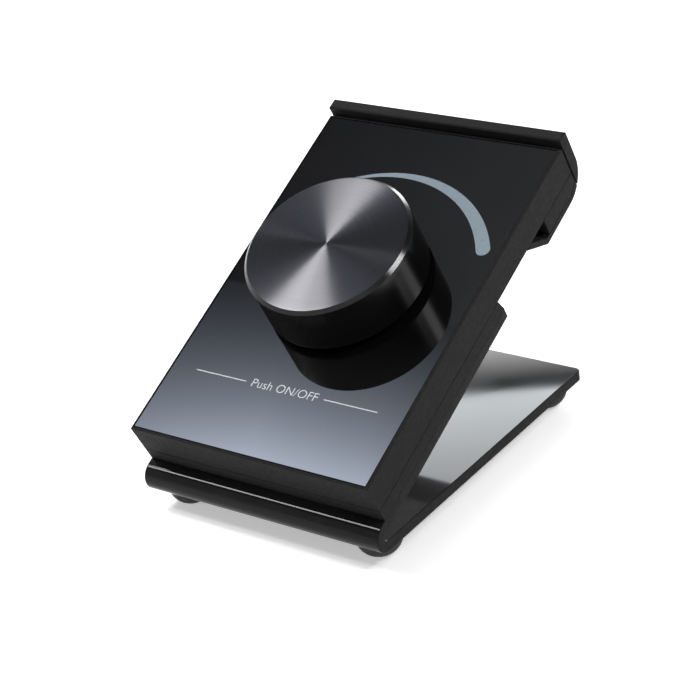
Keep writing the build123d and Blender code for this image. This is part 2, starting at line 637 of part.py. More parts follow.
def stand_nodes():
    """The pieces that stand on the table."""
    side = HALF_W - FOOT_SIDE
    front = FRONT_Y + FOOT_FRONT
    rear = STAND_REAR - FOOT_REAR
    return {
        "stand": stand(),
        "foot_front_left": foot(-side, front),
        "foot_front_right": foot(side, front),
        "foot_rear_left": foot(-side, rear),
        "foot_rear_right": foot(side, rear),
    }


def main():
    """Write every piece as a file of its own."""
    pieces = {name: HEAD * shape for name, shape in head_nodes().items()}
    pieces.update({name: HEAD * KNOB_AXIS * shape for name, shape in knob_nodes().items()})
    pieces.update(stand_nodes())
    os.makedirs("parts", exist_ok=True)
    for name, shape in pieces.items():
        export_step(shape, f"parts/{name}.step")


main()
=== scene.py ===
"""Desktop LED dimmer: front plate, knob, print, stand, feet, screws, cells and switch dome, finished and lit.

Metres, +Z up, +X to the right of the person who faces it, front towards -Y, as the solids have it.
The face has a frame of its own at the knob: X across, Y up the face, Z standing out of it.
"""
import json
from math import acos, atan2, cos, pi, radians, sin

import bmesh
import bpy
from bpy.props import FloatProperty, FloatVectorProperty, IntProperty, PointerProperty, StringProperty
from bpy.types import Operator, Panel, PropertyGroup
from mathutils import Matrix, Vector


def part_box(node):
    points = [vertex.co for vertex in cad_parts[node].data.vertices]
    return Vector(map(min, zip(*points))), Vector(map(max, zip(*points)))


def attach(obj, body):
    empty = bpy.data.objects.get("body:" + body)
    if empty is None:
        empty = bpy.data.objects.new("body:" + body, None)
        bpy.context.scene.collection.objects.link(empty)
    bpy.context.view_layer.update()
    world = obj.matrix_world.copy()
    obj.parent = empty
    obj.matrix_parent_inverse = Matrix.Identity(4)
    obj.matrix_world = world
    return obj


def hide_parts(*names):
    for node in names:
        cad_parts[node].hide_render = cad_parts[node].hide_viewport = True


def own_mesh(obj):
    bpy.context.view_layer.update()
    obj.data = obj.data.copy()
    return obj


bl_info = {
    "name": "Desktop LED dimmer",
    "version": (1, 0, 0),
    "blender": (4, 5, 0),
    "location": "View3D > Sidebar > Dimmer",
    "description": "Makes the dimmer's plate, knob, print, stand, feet, screws, cells, dome and stage",
    "category": "Object",
}

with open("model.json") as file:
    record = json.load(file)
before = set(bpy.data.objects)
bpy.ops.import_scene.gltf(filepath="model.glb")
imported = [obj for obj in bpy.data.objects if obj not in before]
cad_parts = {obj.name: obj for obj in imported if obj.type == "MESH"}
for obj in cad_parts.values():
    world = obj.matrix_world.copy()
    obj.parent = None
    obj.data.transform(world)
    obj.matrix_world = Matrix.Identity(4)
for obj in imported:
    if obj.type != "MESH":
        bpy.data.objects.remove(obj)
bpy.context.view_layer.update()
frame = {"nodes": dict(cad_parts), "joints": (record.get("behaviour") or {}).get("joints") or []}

# Units, turns, and limits that tell places, ways and edges apart
MM = 0.001
HAIR = MM / 10
JOIN = MM / 1000
QUARTER_TURN = pi / 2
HEX_TURN = radians(60)
HALF = 0.5
CRISP = radians(30)
KNOB_CRISP = radians(35)
EASED_FROM = radians(40)
FLAT = cos(radians(5))
FACING = 0.7
CUT_REAR = MM
CUT_TOP = 2 * MM
FLAT_WEIGHT = 100

# Steps round a whole turn, along a rounding, and along the larger curves
WIDE_TURN = 96
TURN = 64
SCREW_TURN = 48
FINE_STEPS = 3
SOFT_STEPS = 6
CORNER_STEPS = 8
LARGE_STEPS = 16
BEND_STEPS = 24
OUTER_BEND_STEPS = 40
KNOB_RINGS = 24
ROUND_PROFILE = 0.5

# Shares of a piece's own sizes
KNOB_SOFT = 1 / 4
MARK_DEPTH = 1 / 3
SOCKET_MOUTH = 1 / 8
HEAD_EASE = 1 / 12
CELL_RIM = 0.75
CELL_SOFT = 0.1
COVE = 1 / 3

# Letters: how far their outline is drawn in, and the steps of their curves
LETTER_DRAW_IN = -0.007
LETTER_STEPS = 6

# Finishes: the stretch of a noise that is used, the turn that sets gloss across the rings, and mirror indices
NOISE_LOW = 0.3
NOISE_HIGH = 0.7
TINT_LOW = 0.35
TINT_HIGH = 0.65
ACROSS_THE_RINGS = 0.25
FACE_INDEX = 1.5
SHEET_INDEX = 1.35
BEND_INDEX = 1.2
KNOB_INDEX = 1.42
# Painted light: how many times paler the upper side of the stand's base is painted than the rest of the sheet
TOP_PAINTED_LIFT = 3.2
WHITE = (1.0, 1.0, 1.0)

# Stage: height of the lights overhead, the sensor's width in millimetres, and the camera's near and far ends
OVERHEAD = 0.65
SENSOR = 36
NEAREST = 0.01
FARTHEST = 20

# Places and ways, from the solids
GROUND = Vector((0, 0, 0))
UP = Vector((0, 0, 1))
DOWN = Vector((0, 0, -1))
KNOB_JOINT = next(joint for joint in frame["joints"] if joint["name"] == "knob_turn")
KNOB_CENTRE = Vector(KNOB_JOINT["pos_m"])
ACROSS = Vector((1, 0, 0))
OUT_OF_FACE = Vector(KNOB_JOINT["axis"])
UP_FACE = OUT_OF_FACE.cross(ACROSS)
FACE = Matrix.Translation(KNOB_CENTRE) @ Matrix((ACROSS, UP_FACE, OUT_OF_FACE)).transposed().to_4x4()
TILT = atan2(UP_FACE.z, UP_FACE.y)
SCREWS = {"cap_screws": UP_FACE, "stand_screws": -OUT_OF_FACE, "board_screws": -OUT_OF_FACE,
          "housing_screws_long": -OUT_OF_FACE, "housing_screws_short": -OUT_OF_FACE}
CELLS = {"battery_cell_upper": ACROSS, "battery_cell_lower": -ACROSS}


def reach(node, direction):
    """How far a solid reaches along a direction, low and high, from the knob's centre on the face."""
    steps = [(vertex.co - KNOB_CENTRE).dot(direction) for vertex in frame["nodes"][node].data.vertices]
    return min(steps), max(steps)


def width(node):
    """How wide a solid is across the dimmer."""
    low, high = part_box(node)
    return high.x - low.x


def pair(node):
    """The head's radius, the length and the two head middles of a pair of screws."""
    facing = SCREWS[node]
    side = facing.cross(ACROSS)
    low, high = reach(node, side)
    tip, top = reach(node, facing)
    head = (high - low) / 2
    middle = KNOB_CENTRE + facing * top + side * (low + high) / 2
    step = ACROSS * (width(node) / 2 - head)
    return head, top - tip, [middle - step, middle + step]


# Sizes and colours that a user may change
def a_number(name, description, default, **more):
    """A setting that is a number; more gives its unit or limits."""
    return FloatProperty(name=name, description=description, default=default, **more)


def a_length(name, description, default):
    """A setting that is a length."""
    return a_number(name, description, default, unit="LENGTH")


def an_angle(name, description, default):
    """A setting that is an angle."""
    return a_number(name, description, default, unit="ROTATION")


def a_colour(name, description, default):
    """A setting that is a colour."""
    return FloatVectorProperty(name=name, description=description, default=default, subtype="COLOR")


class DimmerSizes(PropertyGroup):
    """Sizes of the pieces that are made here."""
    knob_diameter: a_length("Knob diameter", "Across the knob's side", width("knob_shell"))
    knob_wall: a_length("Knob wall", "Thickness of the knob's side", 2.0 * MM)
    knob_top: a_length("Knob top", "Thickness of the knob's top", 2.4 * MM)
    knob_chamfer: a_length("Knob chamfer", "Bright cut edge round the top", 0.9 * MM)
    knob_mark: a_length("Centre mark", "Radius of the lathe's mark in the middle", 0.25 * MM)
    knob_steps: IntProperty(
        name="Knob steps", description="Steps round the knob", default=256, min=32)
    legend: StringProperty(
        name="Legend", description="Words printed under the knob", default="Push ON/OFF")
    legend_width: a_length("Legend width", "Width of the printed words", 19.9 * MM)
    legend_below: a_length("Legend below", "From the knob's centre down to the print", 34.2 * MM)
    line_reach: a_length("Line reach", "Outer end of each printed line", 27.6 * MM)
    line_gap: a_length("Line gap", "Between the words and each line", 1.95 * MM)
    line_weight: a_length("Line weight", "Thickness of each printed line", 0.28 * MM)
    print_height: a_length("Print height", "How far the print stands up", 0.02 * MM)
    sheet: a_length("Sheet", "Thickness of the stand's sheet", 3.0 * MM)
    bend: a_length("Bend", "Inner radius of the stand's bend", 1.1 * MM)
    stand_corner: a_length("Stand corner", "Radius of the stand's corners", 1.5 * MM)
    ease: a_length("Eased edge", "Rounding of the stand's edges", 0.25 * MM)
    foot_flat: a_length("Foot flat", "Across the flat under a foot", 4.0 * MM)
    head_ratio: a_number("Screw head", "Width of a screw's head for each width of its shank", 1.9, min=1.2)
    socket_ratio: a_number("Screw socket", "Width of a screw's socket for each width of its shank", 0.62)
    pitch_ratio: a_number("Screw pitch", "Pitch of a screw's thread for each width of its shank", 0.18)
    screw_room: a_length("Screw room", "Room round a screw in its hole", 0.05 * MM)
    nub_diameter: a_length("Cell nub", "Across a cell's nub", 5.0 * MM)
    nub_height: a_length("Cell nub height", "How far a cell's nub stands out", 1.2 * MM)
    sleeve: a_length("Cell sleeve", "Thickness of a cell's sleeve", 0.12 * MM)
    dome_crown: a_length("Dome crown", "Across the top of the switch dome", 2.8 * MM)
    dome_skin: a_length("Dome skin", "Thickness of the switch dome's wall", 0.5 * MM)
    dome_kept: a_number("Dome kept", "Share of its height that a pushed dome keeps", 0.2, min=0.05, max=1)


class DimmerColours(PropertyGroup):
    """Colours of the finishes, as linear light."""
    face: a_colour("Face", "Glossy front", (0.003, 0.003, 0.0034))
    scale: a_colour("Scale", "Brightness scale on the face", (0.162, 0.208, 0.245))
    legend: a_colour("Legend", "Printed words and lines", (0.41, 0.42, 0.465))
    housing: a_colour("Housing", "Moulded housing", (0.0093, 0.0093, 0.0098))
    stand: a_colour("Stand", "Polished stand", (0.009, 0.009, 0.0095))
    rubber: a_colour("Rubber", "Feet", (0.010, 0.010, 0.010))
    knob_top: a_colour("Knob top", "Spun top of the knob", (0.0615, 0.0615, 0.066))
    knob_side: a_colour("Knob side", "Polished side of the knob", (0.002, 0.002, 0.0022))
    knob_edge: a_colour("Knob edge", "Cut edge of the knob", (0.04, 0.04, 0.041))
    sleeve: a_colour("Sleeve", "Sleeve of the cells", (0.16, 0.18, 0.20))
    board: a_colour("Board", "Circuit board", (0.01, 0.09, 0.04))


class DimmerStage(PropertyGroup):
    """Camera, light and floor."""
    camera_place: FloatVectorProperty(
        name="Camera place", description="Where the camera stands", subtype="XYZ", unit="LENGTH",
        default=(0.2976, -0.38612, 0.27863))
    camera_turn: an_angle("Camera turn", "Round the object, from the front", radians(38.045))
    camera_rise: an_angle("Camera rise", "Above the horizon", radians(27.038))
    camera_roll: an_angle("Camera roll", "Lean of the picture", radians(-7.083))
    lens: a_number("Lens", "Focal length on a 36 mm sensor, in millimetres", 109.58)
    room: a_length("Room", "Radius of the pale floor and wall", 1.8)
    wall: a_length("Wall", "Height of the wall", 1.3)
    pale: a_colour("Pale", "Floor and wall", (0.85, 0.85, 0.85))
    lift: a_number("Lift", "Light that the floor and wall add of their own", 0.42, min=0.0)
    fill: a_number("Fill", "Strength of the light from all round", 0.20, min=0.0)


# Meshes
def placed(name, data):
    """An object in the scene for a mesh, a curve or a camera."""
    thing = bpy.data.objects.new(name, data)
    bpy.context.scene.collection.objects.link(thing)
    return thing


def piece(name, mesh, finishes, body):
    """A finished piece at the origin that moves with a body."""
    for finish in finishes:
        mesh.materials.append(finish)
    thing = placed(name, mesh)
    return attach(thing, body)


def mesh_of(name, shape, place=Matrix.Identity(4), sharp=CRISP, bore=None):
    """A plain mesh from worked faces, set in place, smooth where it curves and crisp where it turns.

    bore is an object whose shape is cut out of it. Large flat faces are shaded truly flat."""
    shape.transform(place)
    bmesh.ops.recalc_face_normals(shape, faces=shape.faces)
    mesh = bpy.data.meshes.new(name)
    shape.to_mesh(mesh)
    shape.free()
    if bore:
        mesh = modified(mesh, "BOOLEAN", object=bore, operation="DIFFERENCE", solver="EXACT")
    mesh.shade_smooth()
    mesh.set_sharp_from_angle(angle=sharp)
    return modified(mesh, "WEIGHTED_NORMAL", weight=FLAT_WEIGHT, keep_sharp=True)


def modified(mesh, kind, **settings):
    """The mesh as one modifier leaves it."""
    name = mesh.name
    holder = placed(name + "_holder", mesh)
    modifier = holder.modifiers.new(kind.lower(), kind)
    for setting, value in settings.items():
        setattr(modifier, setting, value)
    view = bpy.context.evaluated_depsgraph_get()
    made = bpy.data.meshes.new_from_object(holder.evaluated_get(view), preserve_all_data_layers=True,
                                           depsgraph=view)
    bpy.data.objects.remove(holder)
    bpy.data.meshes.remove(mesh)
    made.name = name
    return made


def merged(node):
    """Worked faces of a copy of a solid, its loose triangles joined.

    The normals that come with the solid are for the loose triangles, so they are dropped."""
    copy = frame["nodes"][node].data.copy()
    copy.attributes.remove(copy.attributes["custom_normal"])
    shape = bmesh.new()
    shape.from_mesh(copy)
    bpy.data.meshes.remove(copy)
    bmesh.ops.remove_doubles(shape, verts=shape.verts, dist=JOIN)
    return shape


def arc(middle, radius, start, end, steps):
    """Points round part of a circle, from one angle to another."""
    turns = [start + (end - start) * step / steps for step in range(steps + 1)]
    return [(middle[0] + radius * cos(turn), middle[1] + radius * sin(turn)) for turn in turns]


def turned(outline, steps, kinds=None):
    """Worked faces of an outline of radius and height turned about Z. A radius of 0 is a point on the axis.

    kinds gives the finish of each stretch of the outline.
    The map runs round the axis and along the outline."""
    shape = bmesh.new()
    chart = shape.loops.layers.uv.new("turned")
    rings = []
    for radius, height in outline:
        turns = range(steps if radius else 1)
        rings.append([shape.verts.new((radius * cos(2 * pi * turn / steps),
                                       radius * sin(2 * pi * turn / steps), height)) for turn in turns])
    run = 0.0
    for stretch in range(len(outline) - 1):
        first, second = rings[stretch], rings[stretch + 1]
        start = run
        run += (Vector(outline[stretch + 1]) - Vector(outline[stretch])).length
        for turn in range(steps):
            corners = [(first, turn, start), (first, turn + 1, start),
                       (second, turn + 1, run), (second, turn, run)]
            ring_corners = [corner for corner in corners if len(corner[0]) > 1 or corner[1] == turn]
            face = shape.faces.new([ring[step % len(ring)] for ring, step, along in ring_corners])
            face.material_index = kinds[stretch] if kinds else 0
            for loop, (ring, step, along) in zip(face.loops, ring_corners):
                middle = HALF if len(ring) == 1 else 0.0
                loop[chart].uv = ((step + middle) / steps, along)
    return shape


def drawn_across(outline, half):
    """Worked faces of a side outline of Y and Z, drawn out across the width."""
    shape = bmesh.new()
    side = shape.faces.new([shape.verts.new((-half, y, z)) for y, z in outline])
    across = bmesh.ops.extrude_face_region(shape, geom=[side])
    moved = [part for part in across["geom"] if isinstance(part, bmesh.types.BMVert)]
    bmesh.ops.translate(shape, verts=moved, vec=(2 * half, 0, 0))
    bmesh.ops.recalc_face_normals(shape, faces=shape.faces)
    return shape


def block(shape, low, high):
    """Adds a box between two corners to worked faces."""
    low, high = Vector(low), Vector(high)
    size = Matrix.Diagonal((*(high - low), 1))
    bmesh.ops.create_cube(shape, size=1, matrix=Matrix.Translation((low + high) / 2) @ size)


# Repeats on points, each turned so that its own Z points the way the point faces
def repeat_tree():
    """The node tree that sets one pattern on every point of a mesh."""
    tree = bpy.data.node_groups.new("repeat_on_points", "GeometryNodeTree")
    for name, way, kind in (("Points", "INPUT", "Geometry"), ("Pattern", "INPUT", "Object"),
                            ("Finish", "INPUT", "Material"), ("Pieces", "OUTPUT", "Geometry")):
        tree.interface.new_socket(name, in_out=way, socket_type="NodeSocket" + kind)
    given = tree.nodes.new("NodeGroupInput")
    made = tree.nodes.new("NodeGroupOutput")
    copied = tree.nodes.new("GeometryNodeObjectInfo")
    facing = tree.nodes.new("GeometryNodeInputNamedAttribute")
    facing.data_type = "FLOAT_VECTOR"
    facing.inputs["Name"].default_value = "facing"
    turn = tree.nodes.new("FunctionNodeAlignRotationToVector")
    turn.axis = "Z"
    set_down = tree.nodes.new("GeometryNodeInstanceOnPoints")
    real = tree.nodes.new("GeometryNodeRealizeInstances")
    paint = tree.nodes.new("GeometryNodeSetMaterial")
    links = (
        (given.outputs["Pattern"], copied.inputs["Object"]),
        (facing.outputs["Attribute"], turn.inputs["Vector"]),
        (given.outputs["Points"], set_down.inputs["Points"]),
        (copied.outputs["Geometry"], set_down.inputs["Instance"]),
        (turn.outputs["Rotation"], set_down.inputs["Rotation"]),
        (set_down.outputs["Instances"], real.inputs["Geometry"]),
        (real.outputs["Geometry"], paint.inputs["Geometry"]),
        (given.outputs["Finish"], paint.inputs["Material"]),
        (paint.outputs["Geometry"], made.inputs["Pieces"]),
    )
    for source, target in links:
        tree.links.new(source, target)
    return tree


def repeated(name, pattern_mesh, places, facing, finish):
    """A plain mesh with the pattern at every place, its Z turned to face the given way."""
    tree = bpy.data.node_groups.get("repeat_on_points") or repeat_tree()
    points = bpy.data.meshes.new(name)
    points.from_pydata([tuple(place) for place in places], [], [])
    ways = points.attributes.new("facing", "FLOAT_VECTOR", "POINT")
    for way in ways.data:
        way.vector = facing
    copied = placed(name + "_pattern", pattern_mesh)
    holder = placed(name + "_points", points)
    repeat = holder.modifiers.new("repeat", "NODES")
    repeat.node_group = tree
    sockets = {item.name: item.identifier for item in tree.interface.items_tree if item.in_out == "INPUT"}
    repeat[sockets["Pattern"]] = copied
    repeat[sockets["Finish"]] = finish
    view = bpy.context.evaluated_depsgraph_get()
    mesh = bpy.data.meshes.new_from_object(holder.evaluated_get(view))
    mesh.name = name
    mesh.materials.clear()
    bpy.data.objects.remove(holder)
    bpy.data.objects.remove(copied)
    if not mesh.polygons:
        raise RuntimeError(f"{name} came out empty")
    return mesh


# Finishes
def surface(name, colour, roughness, **sockets):
    """A material with one shader; sockets sets its other inputs by name."""
    material = bpy.data.materials.new(name)
    material.use_nodes = True
    shader = shader_of(material)
    shader.inputs["Base Color"].default_value = (*colour, 1)
    shader.inputs["Roughness"].default_value = roughness
    for socket, value in sockets.items():
        shader.inputs[socket.replace("_", " ")].default_value = value
    return material


def shader_of(material):
    """The shader of a material."""
    return material.node_tree.nodes["Principled BSDF"]


def pattern(material, scale, detail=2.0, stretch=(1, 1, 1), chart=None):
    """A noise over the piece, scale per metre, on its own place or on a map of the piece."""
    nodes, links = material.node_tree.nodes, material.node_tree.links
    if chart:
        place = nodes.new("ShaderNodeUVMap")
        place.uv_map = chart
        source = place.outputs["UV"]
    else:
        source = nodes.new("ShaderNodeTexCoord").outputs["Object"]
    mapping = nodes.new("ShaderNodeMapping")
    mapping.inputs["Scale"].default_value = stretch
    noise = nodes.new("ShaderNodeTexNoise")
    noise.inputs["Scale"].default_value = scale
    noise.inputs["Detail"].default_value = detail
    links.new(source, mapping.inputs["Vector"])
    links.new(mapping.outputs["Vector"], noise.inputs["Vector"])
    return noise.outputs["Fac"]


def feed(material, source, socket):
    """Lets a source set one input of the shader."""
    material.node_tree.links.new(source, shader_of(material).inputs[socket])


def mapped(material, source, start, end, low=0.0, high=1.0):
    """A number moved from the stretch between start and end to the one between low and high."""
    stretch = material.node_tree.nodes.new("ShaderNodeMapRange")
    for name, value in (("From Min", start), ("From Max", end), ("To Min", low), ("To Max", high)):
        stretch.inputs[name].default_value = value
    material.node_tree.links.new(source, stretch.inputs["Value"])
    return stretch.outputs["Result"]


def combined(material, operation, first, second):
    """What an operation makes of a source and a second source or plain number."""
    node = material.node_tree.nodes.new("ShaderNodeMath")
    node.operation = operation
    material.node_tree.links.new(first, node.inputs[0])
    if isinstance(second, bpy.types.NodeSocket):
        material.node_tree.links.new(second, node.inputs[1])
    else:
        node.inputs[1].default_value = second
    return node.outputs["Value"]


def vary(material, source, low, high):
    """Lets a pattern move the roughness between low and high."""
    feed(material, mapped(material, source, NOISE_LOW, NOISE_HIGH, low, high), "Roughness")


def tint(material, source, dark, light):
    """Lets a pattern move the colour between a darker and a lighter shade of it."""
    colour = tuple(shader_of(material).inputs["Base Color"].default_value)[:3]
    ramp = material.node_tree.nodes.new("ShaderNodeValToRGB")
    for stop, place, factor in zip(ramp.color_ramp.elements, (TINT_LOW, TINT_HIGH), (dark, light)):
        stop.position = place
        stop.color = (*shade(colour, factor), 1)
    material.node_tree.links.new(source, ramp.inputs["Fac"])
    feed(material, ramp.outputs["Color"], "Base Color")


def raise_by(material, source, height, strength, soft=0.0):
    """Lets a pattern raise the surface, whose edges are shaded as rounded by a soft radius."""
    bump = material.node_tree.nodes.new("ShaderNodeBump")
    if soft:
        rounded = material.node_tree.nodes.new("ShaderNodeBevel")
        rounded.inputs["Radius"].default_value = soft
        material.node_tree.links.new(rounded.outputs["Normal"], bump.inputs["Normal"])
    bump.inputs["Distance"].default_value = height
    bump.inputs["Strength"].default_value = strength
    material.node_tree.links.new(source, bump.inputs["Height"])
    feed(material, bump.outputs["Normal"], "Normal")


def shade(colour, factor):
    """A colour made lighter or darker."""
    return tuple(part * factor for part in colour)


def colours():
    """The colours as the user has them."""
    return bpy.context.scene.dimmer_colours


def sizes():
    """The sizes as the user has them."""
    return bpy.context.scene.dimmer_sizes


def face_gloss():
    """Polished black front, with the faint unevenness of a lacquered sheet."""
    material = surface("face_gloss", colours().face, roughness=0.02, IOR=FACE_INDEX)
    tint(material, pattern(material, scale=60), dark=0.85, light=1.15)
    vary(material, pattern(material, scale=25), low=0.012, high=0.03)
    return material


def scale_ink():
    """Pale printed inlay with a fine grain."""
    material = surface("scale_ink", colours().scale, roughness=0.3)
    tint(material, pattern(material, scale=4000), dark=0.93, light=1.07)
    vary(material, pattern(material, scale=1500), low=0.25, high=0.4)
    return material


def legend_ink():
    """Pale screen print."""
    material = surface("legend_ink", colours().legend, roughness=0.45)
    tint(material, pattern(material, scale=5000), dark=0.95, light=1.05)
    return material


def moulded(colour, grain=3500, height=0.03 * MM):
    """Moulded black plastic with a fine spark-eroded grain."""
    material = surface("moulded", colour, roughness=0.65, Specular_IOR_Level=0.125)
    speckle = pattern(material, grain, detail=3.0)
    tint(material, speckle, dark=0.75, light=1.3)
    vary(material, pattern(material, scale=900), low=0.6, high=0.72)
    raise_by(material, speckle, height, strength=0.5, soft=0.2 * MM)
    return material


def stand_gloss(name="stand_gloss", mirror=SHEET_INDEX, painted_lift=1.0):
    """Polished black sheet; mirror sets how strongly it mirrors, and the last setting paints it paler, as
    painted light.
    """
    colour = shade(colours().stand, painted_lift)
    material = surface(name, colour, roughness=0.04, IOR=mirror)
    tint(material, pattern(material, scale=80), dark=0.85, light=1.15)
    vary(material, pattern(material, scale=40), low=0.02, high=0.05)
    return material


def sawn(name):
    """The cut edge of a black sheet, left fine and dull."""
    colour = shade(colours().housing, factor=0.6)
    material = surface(name, colour, roughness=0.5, Specular_IOR_Level=0.12)
    grain = pattern(material, scale=3000, detail=3.0)
    tint(material, grain, dark=0.85, light=1.2)
    vary(material, pattern(material, scale=900), low=0.45, high=0.6)
    return material


def foot_rubber():
    """Soft black rubber, faintly dusty."""
    material = surface("foot_rubber", colours().rubber, roughness=0.7)
    grain = pattern(material, scale=2500)
    tint(material, grain, dark=0.8, light=1.5)
    vary(material, pattern(material, scale=600), low=0.6, high=0.8)
    raise_by(material, grain, height=0.02 * MM, strength=0.4)
    return material


def spun(material, chart):
    """Lets the gloss run round the axis, as a lathe tool leaves it."""
    tangent = material.node_tree.nodes.new("ShaderNodeTangent")
    tangent.direction_type = "UV_MAP"
    tangent.uv_map = chart
    feed(material, tangent.outputs["Tangent"], "Tangent")


def knob_spun():
    """Spun dark metal with fine rings round the middle."""
    material = surface("knob_spun", colours().knob_top, roughness=0.285, Metallic=1.0, Anisotropic=1.0,
                       Anisotropic_Rotation=ACROSS_THE_RINGS)
    rings = pattern(material, scale=1.0, detail=4.0, stretch=(3, 26000, 1), chart="turned")
    tint(material, rings, dark=0.9, light=1.1)
    vary(material, rings, low=0.27, high=0.30)
    spun(material, "turned")
    return material


def knob_cut():
    """Bright metal where the tool has cut the edge."""
    material = surface("knob_cut", colours().knob_edge, roughness=0.2, Metallic=1.0, Anisotropic=0.5,
                       Anisotropic_Rotation=ACROSS_THE_RINGS)
    rings = pattern(material, scale=1.0, detail=3.0, stretch=(2, 8000, 1), chart="turned")
    tint(material, rings, dark=0.9, light=1.1)
    spun(material, "turned")
    return material


def knob_gloss():
    """Polished black side, with faint lines round it."""
    material = surface("knob_gloss", colours().knob_side, roughness=0.2, IOR=KNOB_INDEX)
    rings = pattern(material, scale=1.0, detail=3.0, stretch=(1, 4000, 1), chart="turned")
    tint(material, rings, dark=0.85, light=1.15)
    vary(material, rings, low=0.17, high=0.23)
    return material


def bare_metal(colour, roughness):
    """Bare metal with a fine brushed unevenness."""
    material = surface("bare_metal", colour, roughness, Metallic=1.0)
    grain = pattern(material, scale=1200, detail=3.0, stretch=(1, 1, 6))
    tint(material, grain, dark=0.88, light=1.08)
    vary(material, grain, low=roughness * 0.8, high=roughness * 1.25)
    return material


def plain_plastic(colour, roughness):
    """Smooth plastic with a faint unevenness."""
    material = surface("plain_plastic", colour, roughness)
    grain = pattern(material, scale=1500)
    tint(material, grain, dark=0.9, light=1.1)
    vary(material, pattern(material, scale=500), low=roughness * 0.85, high=roughness * 1.15)
    return material


def cell_sleeve():
    """Shrunk film over a cell."""
    material = surface("cell_sleeve", colours().sleeve, roughness=0.3, Coat_Weight=0.4)
    grain = pattern(material, scale=300)
    tint(material, grain, dark=0.95, light=1.05)
    raise_by(material, grain, height=0.02 * MM, strength=0.3)
    return material


def board_green():
    """Solder mask over the weave of the board."""
    material = surface("board_green", colours().board, roughness=0.35)
    weave = pattern(material, scale=1200, stretch=(1, 3, 3))
    tint(material, weave, dark=0.8, light=1.2)
    raise_by(material, weave, height=0.01 * MM, strength=0.4)
    return material


# The finish of every slot of the solids
FINISHES = {
    "face_gloss": face_gloss,
    "scale_ink": scale_ink,
    "housing_black": lambda: moulded(colours().housing),
    "cap_dark": lambda: moulded(shade(colours().housing, factor=1.1)),
    "cover_dark": lambda: moulded(shade(colours().housing, factor=1.05)),
    "stand_gloss": stand_gloss,
    "foot_rubber": foot_rubber,
    "knob_metal": knob_spun,
    "hub_plastic": lambda: plain_plastic(colour=(0.02, 0.02, 0.02), roughness=0.5),
    "encoder_metal": lambda: bare_metal(colour=(0.55, 0.55, 0.53), roughness=0.3),
    "encoder_plastic": lambda: plain_plastic(colour=(0.03, 0.03, 0.03), roughness=0.45),
    "rotor_brass": lambda: bare_metal(colour=(0.60, 0.44, 0.18), roughness=0.3),
    "dome_rubber": lambda: plain_plastic(colour=(0.45, 0.45, 0.43), roughness=0.6),
    "board_green": board_green,
    "chip_black": lambda: moulded((0.012, 0.012, 0.012), grain=2500, height=0.01 * MM),
    "shield_tin": lambda: bare_metal(colour=(0.62, 0.62, 0.60), roughness=0.28),
    "cell_sleeve": cell_sleeve,
    "contact_steel": lambda: bare_metal(colour=(0.66, 0.66, 0.65), roughness=0.25),
    "lead_insulation": lambda: plain_plastic(colour=(0.35, 0.02, 0.02), roughness=0.4),
    "screw_black": lambda: bare_metal(colour=(0.035, 0.035, 0.037), roughness=0.35),
}


def finish_of(slot):
    """The finish for a slot, made once."""
    name = {"knob_metal": "knob_spun"}.get(slot, slot)
    material = bpy.data.materials.get("finished_" + name) or FINISHES[slot]()
    material.name = "finished_" + name
    return material


# Operators, one for each piece or group of like pieces
class DIMMER_OT_solids(Operator):
    """Give every solid that stays the finish of its slot"""
    bl_idname = "dimmer.solids"
    bl_label = "Finish the solids"

    def execute(self, context):
        for node in frame["nodes"].values():
            for slot in node.material_slots:
                slot.material = finish_of(slot.material.name.split(".")[0])
        return {"FINISHED"}


class DIMMER_OT_face(Operator):
    """Lay in the front plate: a polished sheet with dull edges all round"""
    bl_idname = "dimmer.face"
    bl_label = "Front plate"
    GLOSS, DULL = range(2)

    def execute(self, context):
        shape = merged("face_plate")
        shape.normal_update()
        for face in shape.faces:
            is_flat = abs(face.normal.dot(OUT_OF_FACE)) > FLAT
            face.material_index = self.GLOSS if is_flat else self.DULL
        plate = piece("front_plate", mesh_of("front_plate", shape),
                      [finish_of("face_gloss"), sawn("face_edge")], "base")
        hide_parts("face_plate")
        return {"FINISHED"}


class DIMMER_OT_knob(Operator):
    """Turn the knob: a cup with a spun top, a bright cut edge and a polished side"""
    bl_idname = "dimmer.knob"
    bl_label = "Knob"
    TOP, EDGE, SIDE = range(3)

    def outline(self):
        """The cup from its hollow round to the middle of its top, and the finish of each stretch."""
        size = sizes()
        radius = size.knob_diameter / 2
        hollow = radius - size.knob_wall
        low, high = reach("knob_shell", OUT_OF_FACE)
        ceiling = high - size.knob_top
        ease = size.ease
        soft = ease * KNOB_SOFT
        cut = size.knob_chamfer
        inside = [(0, ceiling), (hollow, ceiling), (hollow, low)]
        foot = arc((radius - ease, low + ease), ease, -QUARTER_TURN, 0, SOFT_STEPS)
        shoulder = arc((radius - soft, high - cut), soft, 0, QUARTER_TURN / 2, FINE_STEPS)
        edge = arc((radius - cut, high - soft), soft, QUARTER_TURN / 2, QUARTER_TURN, FINE_STEPS)
        span = radius - cut - size.knob_mark
        top = [(size.knob_mark + span * (KNOB_RINGS - ring) / KNOB_RINGS, high)
               for ring in range(1, KNOB_RINGS + 1)]
        mark = [(0, high - size.knob_mark * MARK_DEPTH)]
        side_kinds = [self.SIDE] * (len(inside) + len(foot) + len(shoulder) - 1)
        edge_kinds = [self.EDGE] * len(edge)
        top_kinds = [self.TOP] * (len(top) + len(mark))
        return inside + foot + shoulder + edge + top + mark, side_kinds + edge_kinds + top_kinds

    def execute(self, context):
        outline, kinds = self.outline()
        mesh = mesh_of("knob", turned(outline, sizes().knob_steps, kinds), FACE, KNOB_CRISP)
        knob = piece("knob", mesh, [finish_of("knob_metal"), knob_cut(), knob_gloss()], "knob")
        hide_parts("knob_shell")
        return {"FINISHED"}


